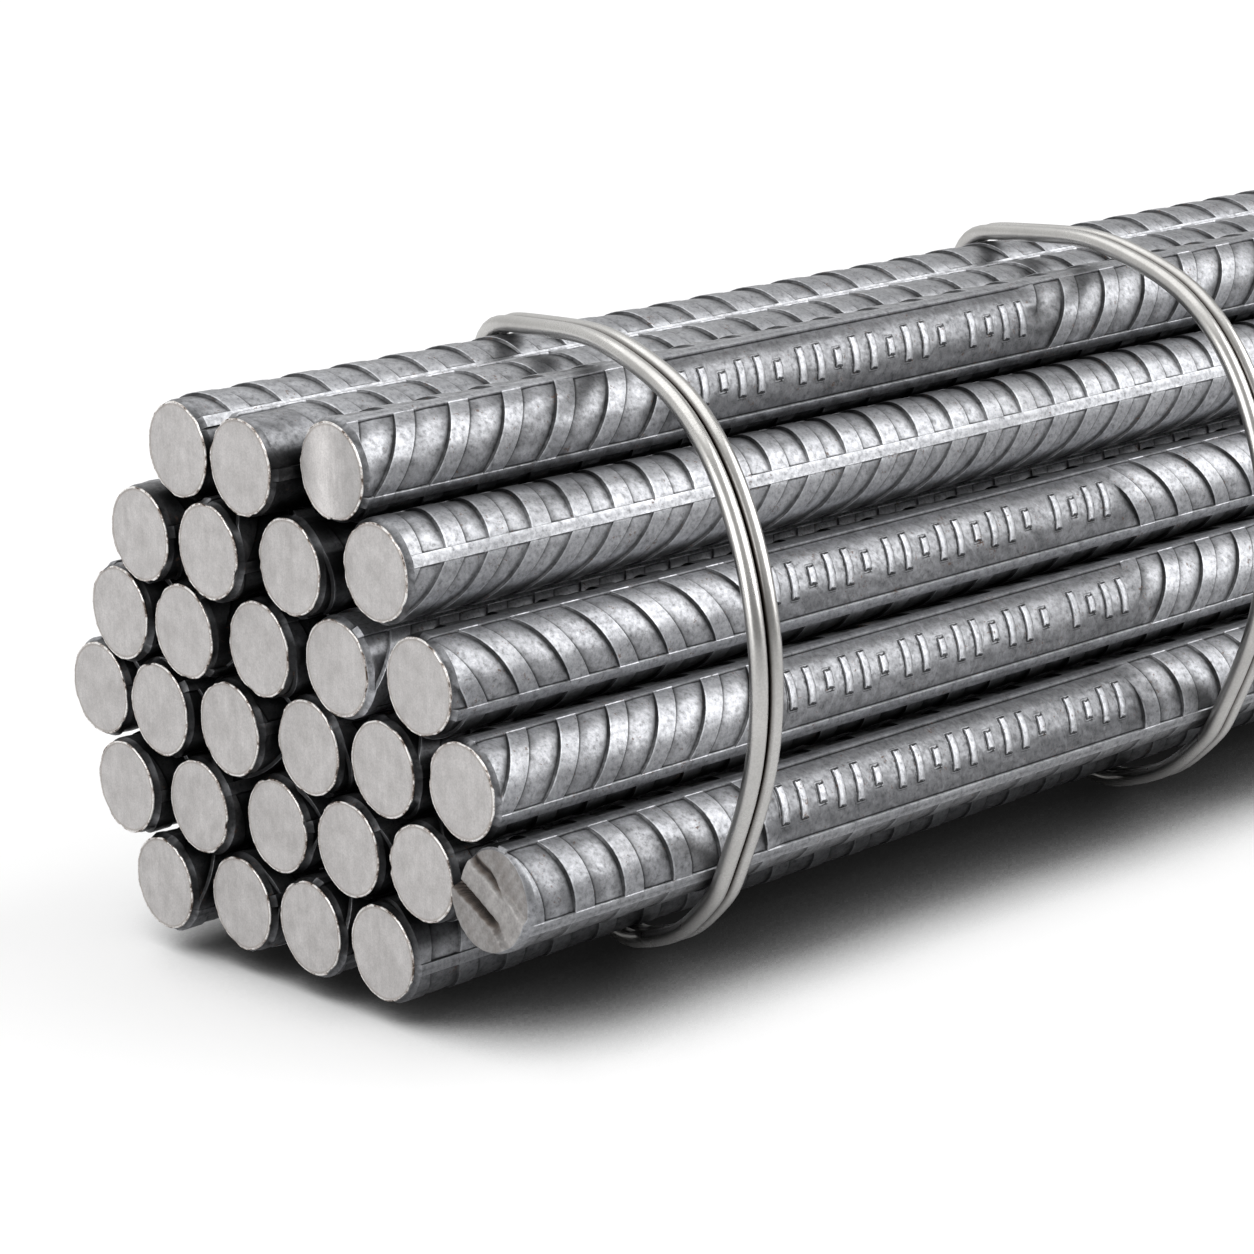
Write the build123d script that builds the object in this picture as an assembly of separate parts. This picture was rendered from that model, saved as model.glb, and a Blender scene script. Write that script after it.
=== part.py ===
# A bundle of ribbed reinforcing bars, held together by loops of round wire.
# The bars lie along X, the stack's rows are level, and Z is up. Millimetres.
# Each bar is a plain round of the bar's size over its ribs, chamfered at both sawn ends down to
# the nominal size. The ribs themselves are surface relief and are not modelled here.
import math
import os

from build123d import *

os.makedirs("parts", exist_ok=True)

# The bars
BAR_NOMINAL_D = 20.0
RIB_RISE = 1.0
BAR_LENGTH = 3000.0
BAR_CLEARANCE = 0.1

# The ties
TIE_WIRE_D = 3.7
TIE_STRAND_GAP = 0.2
TIE_SEAT_CLEARANCE = 0.12
FIRST_TIE_FROM_END = 63.0
TIE_PAIR_SPACING = 153.0
TIE_TAIL_LENGTH = 30.0
TIE_TAIL_PLAY = 0.3

# The stack, row by row from the top. Letters run from the far side to the near side.
ROW_LETTERS = {"1": "abc", "2": "abcd", "3": "abcde", "4": "abcdef", "5": "abcdef", "6": "abcd"}

# Where each row's first bar lies, as a share of the pitch from the widest row's first bar.
ROW_START_SHARES = {"1": -1.5, "2": -1.0, "3": -0.5, "4": 0.0, "5": -0.5, "6": -1.0}

# Bars that sit a little off their places in the stack: how far outward and up, as shares of the
# pitch.
STAND_OFF_SHARES = {"1c": (0.0, 0.075), "2d": (0.068, 0.118)}

# How far each bar's end stands back from the stack's even end, as a share of the pitch.
END_SHARES = {
    "1": (-0.11, -0.13, 0.14),
    "2": (-0.24, -0.18, 0.00, 0.15),
    "3": (-0.18, -0.15, -0.02, 0.11, 0.25),
    "4": (-0.12, -0.13, -0.04, 0.12, 0.20, 0.29),
    "5": (-0.22, -0.08, 0.09, 0.15, 0.20, 0.10),
    "6": (-0.18, 0.00, 0.05, 0.11),
}

# How far a tie's plane is turned from square across the bars, in degrees.
TIE_SLANT_ANGLE = 17.0

# The loose side of a tie, where the wire stands off the bars, is round these circles: each is
# its centre across and up from the widest row's first bar and the lowest row, and its radius,
# as shares of the pitch.
TOP_BULGE_SHARES = (-3.61, 1.20, 3.98)
SIDE_BULGE_SHARES = (-4.54, 2.65, 2.41)
LOW_BULGE_SHARES = (-4.45, 1.18, 1.565)

bar_r = BAR_NOMINAL_D / 2 + RIB_RISE
pitch = 2 * bar_r + BAR_CLEARANCE
row_rise = pitch * math.sin(math.radians(60))
wire_r = TIE_WIRE_D / 2

# A tie's plane cuts the bars at a slant, so everything in it is this much wider across.
slant = math.radians(TIE_SLANT_ANGLE)
widening = 1 / math.cos(slant)
wire_off = (bar_r + wire_r + TIE_SEAT_CLEARANCE) * widening
strand_step = (TIE_WIRE_D + TIE_STRAND_GAP) * widening


def row_height(index):
    return (len(ROW_LETTERS) - 1 - index) * row_rise


def bar_places():
    places = {}
    for index, (row, letters) in enumerate(ROW_LETTERS.items()):
        for step, letter in enumerate(letters):
            outward, lift = STAND_OFF_SHARES.get(row + letter, (0.0, 0.0))
            across = (ROW_START_SHARES[row] - step - outward) * pitch
            height = row_height(index) + lift * pitch
            places[row + letter] = (END_SHARES[row][step] * pitch, across, height)
    return places


def make_bar(end_x, across, height):
    bar = Cylinder(bar_r, BAR_LENGTH, rotation=(0, 90, 0))
    bar = chamfer(bar.edges().filter_by(GeomType.CIRCLE), RIB_RISE)
    return Pos(end_x + BAR_LENGTH / 2, across, height) * bar


# The circles in a tie's own plane that its centre line is drawn tight round, in order along it:
# the stack's corner bars, and between them the bulges of the loose side.
def tie_rounds(places):
    def round_bar(name):
        return places[name][1] * widening, places[name][2], wire_off

    def bulge(shares):
        across, up, radius = (share * pitch for share in shares)
        return across * widening, up, radius

    return [
        round_bar("6d"), round_bar("6a"), round_bar("4a"), round_bar("1a"),
        bulge(TOP_BULGE_SHARES), bulge(SIDE_BULGE_SHARES), round_bar("5f"), bulge(LOW_BULGE_SHARES),
    ]


# The angle of the outward normal of the straight run from one circle to the next.
def run_angle(first, second):
    way = Vector(second[0] - first[0], second[1] - first[1])
    lean = (first[2] - second[2]) / way.length
    return math.atan2(way.Y, way.X) - math.acos(lean)


def on_round(circle, angle):
    return Vector(0, circle[0] + circle[2] * math.cos(angle), circle[1] + circle[2] * math.sin(angle))


def tie_path(rounds):
    count = len(rounds)
    leave = [run_angle(rounds[i], rounds[(i + 1) % count]) for i in range(count)]
    edges = []
    for i, circle in enumerate(rounds):
        start = leave[i - 1]
        turn = (leave[i] - start) % math.tau
        arc_end = on_round(circle, start + turn)
        edges.append(ThreePointArc(on_round(circle, start), on_round(circle, start + turn / 2), arc_end))
        edges.append(Line(arc_end, on_round(rounds[(i + 1) % count], leave[i])))
    return edges


# One wire, wound twice: two turns side by side, joined by the twisted tail on the far side,
# halfway along the run from the widest row up to the top row. It is drawn square across the bars,
# turned to its slant, and placed by where it crosses the widest row's last bar.
def make_tie(places):
    rounds = tie_rounds(places)
    edges = tie_path(rounds)
    path = Wire(edges)
    section = Plane(origin=path @ 0, z_dir=path % 0) * Circle(wire_r)
    crossing = Pos(-places["4f"][1] * math.tan(slant), 0, 0) * Rot(0, 0, -TIE_SLANT_ANGLE)
    turn = crossing * sweep(section, path=path)
    tail_angle = run_angle(rounds[2], rounds[3])
    middle = (on_round(rounds[2], tail_angle) + on_round(rounds[3], tail_angle)) * 0.5
    outward = Vector(0, math.cos(tail_angle), math.sin(tail_angle))
    tail_axis = (crossing * Pos(middle + outward * (TIE_WIRE_D - TIE_TAIL_PLAY))).position
    tail = Cylinder(TIE_WIRE_D, TIE_TAIL_LENGTH, rotation=(0, 90, 0),
                    align=(Align.CENTER, Align.CENTER, Align.MIN))
    tail = fillet(tail.edges().group_by(Axis.X)[-1], wire_r)
    tail = Pos(tail_axis.X - strand_step, tail_axis.Y, tail_axis.Z) * tail
    first = Pos(-strand_step / 2, 0, 0) * turn
    second = Pos(strand_step / 2, 0, 0) * turn
    return first + second + tail


places = bar_places()
solids = {}
for name, (end_x, across, height) in places.items():
    solids["bar_" + name] = make_bar(end_x, across, height)

tie = make_tie(places)
near_pair = FIRST_TIE_FROM_END + TIE_PAIR_SPACING / 2
slant_reach = (places["4a"][1] - places["4f"][1]) * math.tan(slant)
pair_places = (near_pair, (BAR_LENGTH - slant_reach) / 2, BAR_LENGTH - slant_reach - near_pair)
number = 0
for pair_place in pair_places:
    for side in (-1, 1):
        number += 1
        solids["tie_%d" % number] = Pos(pair_place + side * TIE_PAIR_SPACING / 2, 0, 0) * tie

# The origin is at the middle of the bundle's underside.
box = Compound(children=[solid.solid() for solid in solids.values()]).bounding_box()
shift = Pos(-box.center().X, -box.center().Y, -box.min.Z)
for name, solid in solids.items():
    export_step(shift * solid, "parts/%s.step" % name)
    moved = (shift * solid).bounding_box()
    print(name, len(solid.solids()), round(solid.volume), moved.min, moved.max)
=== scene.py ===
import math

import bpy
import numpy as np
from mathutils import Matrix, Vector


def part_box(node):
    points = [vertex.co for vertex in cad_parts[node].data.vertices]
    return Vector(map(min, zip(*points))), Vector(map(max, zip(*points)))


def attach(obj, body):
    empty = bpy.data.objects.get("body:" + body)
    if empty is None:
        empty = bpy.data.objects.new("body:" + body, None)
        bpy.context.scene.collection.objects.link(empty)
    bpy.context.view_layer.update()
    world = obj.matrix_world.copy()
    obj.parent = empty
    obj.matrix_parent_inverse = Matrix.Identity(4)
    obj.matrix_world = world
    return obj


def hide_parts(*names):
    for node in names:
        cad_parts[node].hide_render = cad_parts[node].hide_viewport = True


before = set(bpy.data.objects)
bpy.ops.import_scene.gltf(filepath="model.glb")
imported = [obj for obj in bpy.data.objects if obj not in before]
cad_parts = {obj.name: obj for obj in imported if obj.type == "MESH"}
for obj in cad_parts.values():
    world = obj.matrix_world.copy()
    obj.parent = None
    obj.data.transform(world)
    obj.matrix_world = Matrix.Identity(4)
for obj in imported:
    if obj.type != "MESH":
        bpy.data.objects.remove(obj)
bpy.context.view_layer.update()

MM = 0.001

# The bars' section, in millimetres. A bar has three lengthwise ribs and, between them, three
# fields of slanted ribs. The last angle is the first rib's again, a whole turn on.
FACE_R = 10.0
STRIP_ANGLES = (0.0, 106.0, 212.0, 360.0)
STRIP_R = 10.86
STRIP_EDGE_DROP = 0.04
STRIP_HALF_WIDTH = 1.15
STRIP_SIDE = 0.14
OUTLINE_WIDTH = 0.4
ARCH_POWER = 0.8
FIELD_STEPS = (12, 12, 15)
COARSE_EVERY = 4

# One slanted rib, from its foot: a steep side towards the near end, a flat band, a low step, and
# the pocket that curves down to the next rib's foot. Each has its size beside the lengthwise ribs
# and what it gains halfway between them.
FOOT_R, FOOT_GAIN = 10.3, -0.1
CREST_R, CREST_GAIN = 10.7, 0.2
BAND_R, BAND_GAIN = 10.66, 0.13
POCKET_R, POCKET_GAIN = 10.3, 0.08
SIDE_LONG, SIDE_GAIN = 0.22, 0.26
SIDE_BEND_SHARE, SIDE_BEND_RISE = 0.8, 0.82
CREST_LONG, CREST_DROP = 0.5, 0.01
BAND_LONG = 5.2
STEP_LONG = 0.14
STEP_ROOT_LONG = 0.3
STEP_SHADE_LONG, STEP_SHADE_RISE = 0.75, 0.3
POCKET_CROWN = 0.16
POCKET_TOP_SHARE = 0.4
POCKET_BACK_SHARE, POCKET_BACK_CROWN, POCKET_BACK_HEIGHT = 0.7, 0.6, 0.75
POCKET_END_LONG, POCKET_END_HEIGHT = 0.8, 0.25
PITCH = 12.5

# How bright these are painted, from 0 for painted shade in a root to 1 for a painted highlight on a
# crest. The steps and the fields' edges beside the lengthwise ribs are painted dark as shade, the
# lengthwise ribs' edges get painted highlights, and the pockets are painted lighter towards their
# middle as a sheen. Losses are halfway between the lengthwise ribs.
STRIP_LIGHT, STRIP_EDGE_HIGHLIGHT = 0.55, 0.91
FOOT_SHADE, FOOT_SHADE_DEEPENING, SIDE_SHADE_DEEPENING = 0.28, 0.16, 0.14
CREST_HIGHLIGHT, BAND_START_LIGHT, BAND_LIGHT = 1.0, 0.66, 0.6
STEP_LINE_SHADE, STEP_ROOT_SHADE, STEP_SHADE_LEVEL = 0.0, 0.16, 0.42
POCKET_LIGHT, POCKET_BACK_LIGHT = 0.6, 0.53
POCKET_END_SHADE, POCKET_END_SHADE_DEEPENING = 0.44, 0.12
OUTLINE_SHADE = 0.08

# The rows of a rib that stay far from the camera, which are its foot, its crest and the end of
# its band, and the rows that are its pocket
COARSE_ROWS = (0, 2, 4)
POCKET_ROWS = slice(5, 11)

# The smooth panel that interrupts one field of ribs, its tone, and the dent where the ribs end at it, which
# is painted dark as shade
PANEL_R = 10.2
PANEL_CROWN = 0.1
PANEL_FADE = 2.5
PANEL_LENGTH = 113.0
PANEL_TONE = 0.4
PANEL_DENT = 0.32
DENT_LONG = 3.6
DENT_SHADE = 0.9
PANEL_REPEAT = 1000.0
PANEL_SPARE_STARTS = (400.0, 900.0)

# The plain strokes rolled on it. A section is its side, how far outside the stroke's edge it lies,
# how high and how bright: a painted highlight on the top's edge on one side, painted shade at both
# feet and a darker top on the other side. A group is its place on the panel and how many strokes it has.
STROKE_HEIGHT = 8.0
STROKE_WIDTH = 1.7
STROKE_RISE = 0.5
STROKE_BASE = 0.04
STROKE_LEAN = 1.6
STROKE_ROWS = 7
STROKE_END = 0.3
STROKE_END_NARROWING = 0.6
STROKE_END_SHADE = 0.15
STROKE_SKIRT = 0.6
STROKE_SECTIONS = (
    (-1, STROKE_SKIRT, 0.0, PANEL_TONE), (-1, 0.14, 0.0, 0.1), (-1, 0.0, STROKE_RISE - 0.06, 1.0),
    (-1, -0.3, STROKE_RISE, 0.7), (1, -0.15, STROKE_RISE, 0.62), (1, 0.04, STROKE_RISE - 0.1, 0.42),
    (1, 0.22, 0.0, 0.0), (1, STROKE_SKIRT, 0.0, PANEL_TONE),
)
STROKE_GROUPS = ((4.0, 6), (38.0, 9), (91.0, 4))
STROKE_STEP = 5.4
STROKE_SHARES = (1.0, 1.0, 0.5)

# How much darker a bar is painted, as shade, where a neighbour lies close: how near it has to be, how
# far round the bar its shade runs in degrees, and how deep the shade is
NEIGHBOUR_REACH = 27.0
SHADE_SPREAD = 33.0
SHADE_DEPTH = 0.88

# Bars in a wider gap keep only this share of that painted shade. Others get painted shade from
# below. Each bar's painted light and shade is scaled by its own painted brightness, which lightens a
# bar in a gap and darkens some others.
LIT_SHARES = {"2d": 0.3, "3d": 0.0, "3e": 0.6}
BELOW_SHADES = {"5f": 0.75, "6d": 0.35}
BELOW_ANGLE = 255.0
BAR_PAINTED_BRIGHTNESS = {"1c": 0.87, "3d": 2.0, "5f": 0.82, "6d": 0.78}
WEAR_SPREAD = 0.2

# How crisp the ribs are on bars where some are rolled soft, field by field, and the level that their
# painted light and shade fades to
SHARP_SHARES = {"2d": (1.0, 0.7, 1.0), "5f": (1.0, 0.5, 1.0), "6d": (0.6, 0.6, 0.6)}
SOFT_TONE = 0.5

# The kinds of surface on a bar, in the order of its materials
SKIN, FACE, BURR_EDGE, TORN_FACE = 0, 1, 2, 3

# A sawn end: the skin runs in to a groove behind a thin burr, whose edge wavers and is chipped.
# The groove and the skin behind the burr are painted dark as shade. The face lies just inside the
# burr, with a ring of painted shade just inside its edge.
CAP_DEPTH = 1.6
GROOVE_R, GROOVE_DEPTH, GROOVE_STEP, GROOVE_SHADE = 9.97, 0.5, 0.1, 0.3
BURR_BACK_DEPTH, BURR_BACK_SHADE = 0.32, 0.5
BURR_RISE, BURR_DEPTH = 0.02, 0.12
BURR_LIP, BURR_INNER_LIP = 0.12, 0.3
BURR_WAVES = (3, 7, 13, 23)
BURR_WOBBLE = 0.07
CHIPS = 6
CHIP_DEPTH = 0.42
CHIP_DEPTH_SHARES = (0.4, 1.0)
CHIP_WIDTHS = (0.05, 0.14)
FACE_DEPTH = 0.06
FACE_EDGE, FACE_EDGE_SHADE = 0.46, 0.15
FACE_BORDER, FACE_MIDDLE_SHARE, FACE_MARK = 0.95, 0.5, 0.5

# The one face with a painted upright shine, in shares of the face's radius and of its colour
SHINING_BAR = "1c"
SHINE_OFF = 0.25
SHINE_WAVER = 0.3
SHINE_CORE, SHINE_HALF_WIDTH, SHINE_END = 0.1, 0.45, 0.75
SHINE_GAIN = 1.35
SHINE_EDGE = 0.8

# The torn end. Places on its face run from -1 to 1, across to the near side and up. A lobe stands
# below a bent slanting line, with a crevice above it, and a gouge lies along a second line. The
# crevice, the gouge, the deeper part above it and the root of the face are painted dark as shade.
# The skin narrows over a shoulder and a neck to the torn rim.
TORN_BAR = "5f"
TORN_DEPTH = 4.2
TORN_RINGS = 44
TORN_ANGLES = 150
TORN_MARGIN = 0.4
LINE_SOFTNESS = 0.1
LOBE_DEPTH = 0.1
LOBE_TOP, LOBE_SLOPE, LOBE_BEND_AT, LOBE_BEND = -0.4, -0.49, 0.2, -0.6
CREVICE_OFF, CREVICE_WIDTH, CREVICE_END, CREVICE_DEPTH, CREVICE_DARK = 0.06, 0.035, 0.5, 1.2, 0.7
GOUGE_CROSSING, GOUGE_SLOPE, GOUGE_END = 0.2, -0.58, 0.45
GOUGE_RIPPLE, GOUGE_WAVE = 0.03, 9.0
GOUGE_WIDTH, GOUGE_NARROWING, GOUGE_DEPTH, GOUGE_DARK = 0.055, 0.03, 1.8, 0.66
CUT_FADE = 0.6
MAIN_DEPTH, MAIN_RISE, MAIN_SLOPE, UPPER_DEPTH = 1.9, 0.5, -0.3, 1.0
MAIN_PALE, UPPER_DARK, LOBE_DARK = 0.68, 0.14, 0.1
ROUGHNESS, ROUGHNESS_SHADE = 0.05, 0.6
ROUGH_WAVES = ((9.0, 5.0, 0.0), (-21.0, 17.0, 1.0))
LEAST_DEPTH, LEAST_PALE = 0.02, 0.04
SHOULDER_BACK, SHOULDER_MARGIN, SHOULDER_STEP, SHOULDER_BRIGHTNESS = 1.4, 0.1, 0.15, 0.6
NECK_BACK, NECK_MARGIN, NECK_BRIGHTNESS = 0.3, 0.2, 0.7
RIM_STEP, RIM_BRIGHTNESS = 0.12, 0.95
ROOT_STEP, ROOT_PALE = 0.25, 0.1
OUTER_SHARE, INNER_SHARE = 0.987, 0.02

# Each bar by itself: the angle of its first lengthwise rib, how far each field's ribs run on from
# one lengthwise rib to the next, where a rib's foot is halfway across the field in front, that
# field, the ribs' pitch, and for a bar whose marked panel shows, where that starts. A bar that is
# not listed has a random turn and start.
COMMON_LEADS = (6.0, -12.0, 6.0)
BAR_SETTINGS = {
    "1a": (34.0, COMMON_LEADS, 6.0, 0, 12.9, None),
    "1b": (75.0, COMMON_LEADS, 8.0, 0, 12.9, None),
    "1c": (-3.0, COMMON_LEADS, 7.9, 1, 13.9, 82.0),
    "2d": (54.0, (-2.0, -15.0, 17.0), 0.1, 0, 11.0, None),
    "3d": (20.0, COMMON_LEADS, 3.0, 1, 12.5, None),
    "3e": (97.0, (10.0, -5.0, -5.0), -0.6, 0, 13.2, 84.0),
    "4f": (-9.0, COMMON_LEADS, 4.3, 1, 12.9, 77.0),
    "5f": (97.0, (3.0, -2.0, -1.0), 0.0, 0, 12.9, 68.0),
    "6d": (187.0, (4.0, 2.0, -6.0), 0.6, 0, 12.5, None),
}

# How long the smooth collar behind some faces is
COLLARS = {"1a": 4.5, "1b": 13.0, "2a": 4.5, "3b": 4.5}

# The bars that show along their length. The others have ribs for INNER_REACH at each end only.
SHOWN = ("1a", "1b", "1c", "2a", "2d", "3a", "3d", "3e", "4a", "4f", "5a", "5f", "6a", "6b", "6c",
         "6d")
INNER_REACH = 62.0

# How far from the near end each bar's ribs have all their rows
FINE_REACHES = {"1a": 342.0, "1b": 314.0, "1c": 288.0, "2d": 276.0, "3d": 288.0, "3e": 262.0,
                "4f": 250.0, "5f": 238.0, "6d": 278.0}
FINE_REACH_ELSEWHERE = 26.0

# The ties, as in the solids: the circles that the wire's centre line is drawn round. The wire
# wavers where it is LOOSE_AT or more off the bars, and carries painted shade, tinted brown, where
# two turns face each other.
WIRE_R = 1.85
WIRE_CLEARANCE = 0.12
STRAND_STEP = 3.9
TIE_SLANT = math.radians(17.0)
BAR_R = 11.0
BAR_PITCH = 22.1
TOP_BULGE_SHARES = (-3.61, 1.20, 3.98)
SIDE_BULGE_SHARES = (-4.54, 2.65, 2.41)
LOW_BULGE_SHARES = (-4.45, 1.18, 1.565)
WIDENING = 1.0 / math.cos(TIE_SLANT)
TIE_SIDES = 18
TIE_STEP = 3.5
LOOSE_AT = 2.0
SMOOTHINGS = 12
SMOOTHING_SHARE = 0.5
WIRE_TONE = 0.6
GAP_FACING = 0.6
TAIL_LENGTH = 26.0
TAIL_TURNS = 3.0
TAIL_OFF = 3.4
TAIL_POINTS = 64
TAIL_SIDES = 12
TAIL_THINNING = 0.98
NEARLY_ALONG_X = 0.2

# How sharp an edge has to be, in degrees, to be drawn sharp
BAR_SMOOTH_ANGLE = 33.0
WIRE_SMOOTH_ANGLE = 60.0

# The floor: how far off the object shades it, how dark by the share of open sky within that
# reach, how much of it is backdrop white where the light leaves it grey, and the grey that lights
# the object
FLOOR_SHADE_REACH = 0.055
FLOOR_SHADES = ((0.1, 0.01), (0.28, 0.1), (0.42, 0.55), (0.64, 1.0))
FLOOR_BACKDROP_SHARE = 0.6
FLOOR_GREY = (0.55, 0.55, 0.56, 1.0)
FLOOR_REACH = 40.0

# The studio: how bright it is by height, how much of the white behind the object metal mirrors, by
# how far back it looks, and how much of the floor's. A lamp is its name, its direction in degrees
# round and up, its strength and its spread in degrees.
SKY_LIGHT = ((0.45, 0.08), (0.6, 0.2), (0.8, 0.5), (1.0, 0.5))
BACKDROP_MIRRORED = ((0.3, 0.0), (0.8, 0.62))
FLOOR_MIRRORED = 0.36
LAMPS = (("key", 50.0, 35.0, 2.3, 60.0), ("left", -95.0, 24.0, 1.4, 50.0), ("top", 160.0, 62.0, 0.8, 60.0))

# The camera, from the even end of the stack, and the way it looks
CAMERA_PLACE = (-435.33, -659.83, 268.87)
CAMERA_AZIMUTH = -41.486
CAMERA_ELEVATION = 15.707
CAMERA_ROLL = -1.249
CAMERA_LENS = 109.284
CAMERA_SENSOR = 36.0
CAMERA_CLIP = (0.01, 100.0)

SEED = 20
random = np.random.default_rng(SEED)


def node_name(bar):
    return "bar_" + bar


def centre_of(node):
    low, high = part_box(node)
    return (Vector(low) + Vector(high)) / 2


def bar_centre(bar):
    """The middle of a bar's solid, in millimetres."""
    return centre_of(node_name(bar)) / MM


def ease(value):
    """0 up to 0, 1 from 1 on, and a soft rise between."""
    share = np.clip(value, 0.0, 1.0)
    return share * share * (3.0 - 2.0 * share)


def angle_from(middle, angles, whole=360.0):
    """How far each angle is from the middle one, at most half a turn either way."""
    return (angles - middle + whole / 2) % whole - whole / 2


BARS = sorted(name[len("bar_"):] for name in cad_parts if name.startswith("bar_"))
TIES = sorted(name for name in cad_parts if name.startswith("tie_"))


# Meshes

def make_mesh(name, points, tris, quads, polys, smooth_angle, materials, kinds, marks):
    mesh = bpy.data.meshes.new(name)
    faces = [np.asarray(tris, np.int64).reshape(-1, 3), np.asarray(quads, np.int64).reshape(-1, 4)]
    loops = np.concatenate([f.ravel() for f in faces] + [np.asarray(p, np.int64) for p in polys])
    sizes = np.concatenate([np.full(len(f), f.shape[1]) for f in faces] + [[len(p)] for p in polys])
    starts = np.concatenate([[0], np.cumsum(sizes)[:-1]])
    mesh.vertices.add(len(points))
    mesh.vertices.foreach_set("co", np.asarray(points, np.float32).ravel())
    mesh.loops.add(len(loops))
    mesh.loops.foreach_set("vertex_index", loops.astype(np.int32))
    mesh.polygons.add(len(sizes))
    mesh.polygons.foreach_set("loop_start", starts.astype(np.int32))
    for material in materials:
        mesh.materials.append(material)
    mesh.polygons.foreach_set("material_index", np.asarray(kinds, np.int32))
    mesh.update(calc_edges=True)
    mesh.validate()
    # Each point's painted light and shade, which the materials multiply into their colour
    layer = mesh.attributes.new("painted_light_mark", "FLOAT", "POINT")
    layer.data.foreach_set("value", np.asarray(marks, np.float32))
    mesh.shade_smooth()
    mesh.set_sharp_from_angle(angle=math.radians(smooth_angle))
    piece = bpy.data.objects.new(name, mesh)
    bpy.context.scene.collection.objects.link(piece)
    return piece


class MeshParts:
    """Collects one piece's points, with how bright each is, and its faces, with the material of each."""

    def __init__(self):
        self.points = []
        self.marks = []
        self.tris = []
        self.quads = []
        self.polys = []
        self.tri_kinds = []
        self.quad_kinds = []
        self.poly_kinds = []
        self.count = 0

    def add_points(self, points, marks):
        """Adds points and returns the number of the first one."""
        first = self.count
        self.points.append(np.asarray(points, float).reshape(-1, 3))
        self.marks.append(np.broadcast_to(marks, (len(self.points[-1]),)).astype(float))
        self.count += len(self.points[-1])
        return first

    def add_quads(self, quads, kind=0):
        """Adds quads. One whose two ends or two middles are the same point becomes a triangle."""
        quads = np.asarray(quads, np.int64).reshape(-1, 4)
        left = quads[:, 0] == quads[:, 3]
        right = quads[:, 1] == quads[:, 2]
        whole = quads[~left & ~right]
        self.quads.append(whole)
        self.quad_kinds.append(np.full(len(whole), kind))
        for tris in (quads[left & ~right][:, :3], quads[right & ~left][:, [0, 1, 3]]):
            self.tris.append(tris)
            self.tri_kinds.append(np.full(len(tris), kind))

    def add_poly(self, poly, kind=0):
        self.polys.append(list(poly))
        self.poly_kinds.append(kind)

    def build(self, name, smooth_angle, materials):
        kinds = np.concatenate([*self.tri_kinds, *self.quad_kinds, np.asarray(self.poly_kinds, int)])
        return make_mesh(name, np.concatenate(self.points) * MM, np.concatenate(self.tris),
                         np.concatenate(self.quads), self.polys, smooth_angle, materials, kinds,
                         np.concatenate(self.marks))


# The ribbed surface of a bar

def section_lines():
    """The lengthwise lines of the section: angle, place across its field, field, kind, coarse."""
    half_top = math.degrees(STRIP_HALF_WIDTH / FACE_R)
    half_base = half_top + math.degrees(STRIP_SIDE / FACE_R)
    outline = math.degrees(OUTLINE_WIDTH / FACE_R)
    lines = []
    for field, steps in enumerate(FIELD_STEPS):
        angle = STRIP_ANGLES[field]
        low, high = angle + half_base, STRIP_ANGLES[field + 1] - half_base
        lines.append((angle - half_top, 0.0, field, "strip edge", True))
        lines.append((angle, 0.0, field, "strip", False))
        lines.append((angle + half_top, 0.0, field, "strip edge", True))
        lines.append((low, 0.0, field, "field edge", True))
        lines.append((low + outline, outline / (high - low), field, "field", False))
        for step in range(1, steps):
            share = step / steps
            lines.append((low + share * (high - low), share, field, "field", step % COARSE_EVERY == 0))
        lines.append((high - outline, 1.0 - outline / (high - low), field, "field", False))
        lines.append((high, 1.0, field, "field edge", True))
    return lines


LINES = section_lines()
LINE_ANGLE = np.array([line[0] for line in LINES])
LINE_ACROSS = np.array([line[1] for line in LINES])
LINE_FIELD = np.array([line[2] for line in LINES])
LINE_STRIP = np.array([line[3].startswith("strip") for line in LINES])
LINE_STRIP_EDGE = np.array([line[3] == "strip edge" for line in LINES])
LINE_FIELD_EDGE = np.array([line[3] == "field edge" for line in LINES])
LINE_COARSE = np.array([line[4] for line in LINES])
EVERY_LINE = np.arange(len(LINES))
COARSE_LINES = np.flatnonzero(LINE_COARSE)

# Each coarse line, the lines after it and the next coarse line
COARSE_SPANS = [np.arange(here, here + (there - here) % len(LINES) + 1) % len(LINES)
                for here, there in zip(COARSE_LINES, np.roll(COARSE_LINES, -1))]


def line_lead(leads):
    """How far the slanted ribs have run on at each line, from each field's lead."""
    knots = np.cumsum((0.0,) + leads)
    return np.interp(LINE_ANGLE % 360.0, STRIP_ANGLES, knots)


def arch(across):
    """0 beside the lengthwise ribs and 1 halfway between them."""
    return np.sin(np.pi * across) ** ARCH_POWER


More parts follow.
